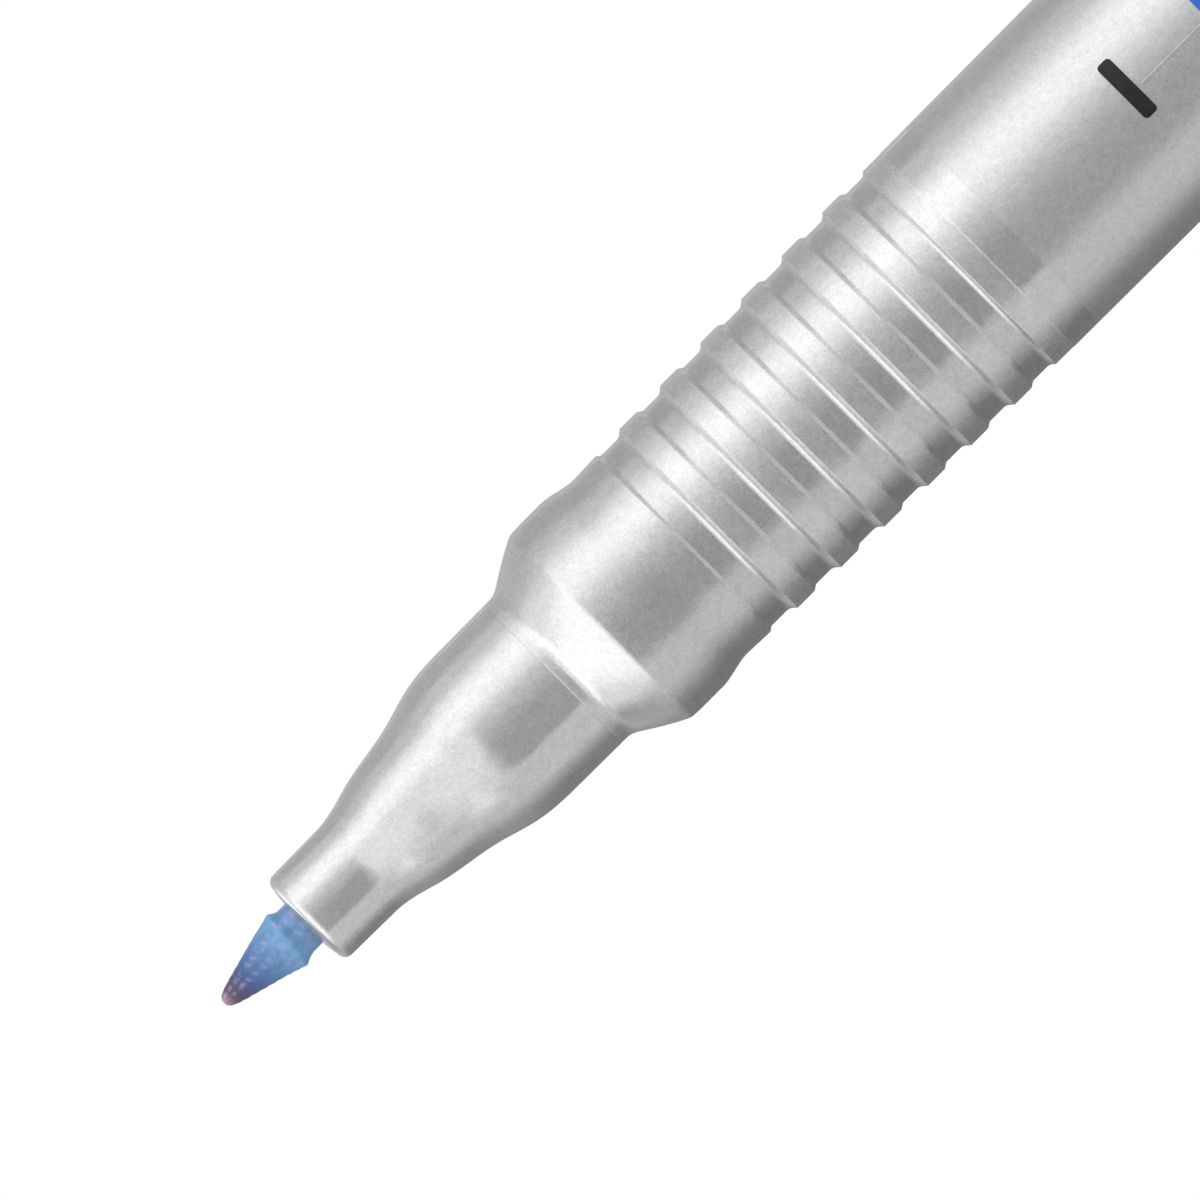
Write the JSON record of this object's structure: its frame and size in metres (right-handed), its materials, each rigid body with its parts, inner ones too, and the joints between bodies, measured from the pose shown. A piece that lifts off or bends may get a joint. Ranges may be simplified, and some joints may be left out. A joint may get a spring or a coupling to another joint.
{
  "type": "permanent marker",
  "caption": "Fine fibre-tip permanent marker with a silver ribbed-grip barrel and blue ink, standing on its posted cap with a spring clip.",
  "frame": {"origin": "centre of the flat closed end of the posted cap, on which the marker stands", "axes": "+Z along the pen's axis towards the nib, -Y towards the clip and the printed side"},
  "size_m": [0.013, 0.016, 0.155],
  "materials": {
    "silver_plastic": "satin silver with fine metallic flake",
    "blue_plastic": "smooth gloss",
    "nib_fibre": "translucent ink-soaked fibre",
    "core_fibre": "bonded fibre soaked in ink",
    "film": "clear film",
    "seal_plastic": "natural semi-matt",
    "print_black": "pad-printed ink",
    "print_blue": "pad-printed ink"
  },
  "bodies": {
    "cap": {"cap_shell": "blue_plastic"},
    "seal": {"inner_cap": "seal_plastic"},
    "pen": {"nib": "nib_fibre", "nose_cone": "silver_plastic", "barrel": "silver_plastic", "ink_reservoir": "core_fibre", "reservoir_sleeve": "film", "tail_plug": "blue_plastic"},
    "clip": {"clip": "blue_plastic"}
  },
  "joints": [
    {"name": "cap_turn", "type": "hinge", "parent": "cap", "child": "seal", "pos_m": [0, 0, 0.024], "axis": [0, 0, 1], "continuous": true},
    {"name": "cap_pull", "type": "slide", "parent": "seal", "child": "pen", "axis": [0, 0, 1], "range_m": [0, 0.03]},
    {"name": "clip_flex", "type": "hinge", "parent": "cap", "child": "clip", "pos_m": [0, -0.0074, 0.002], "axis": [1, 0, 0], "range_deg": [0, 6], "stiffness_Nm_per_rad": 0.6}
  ]
}
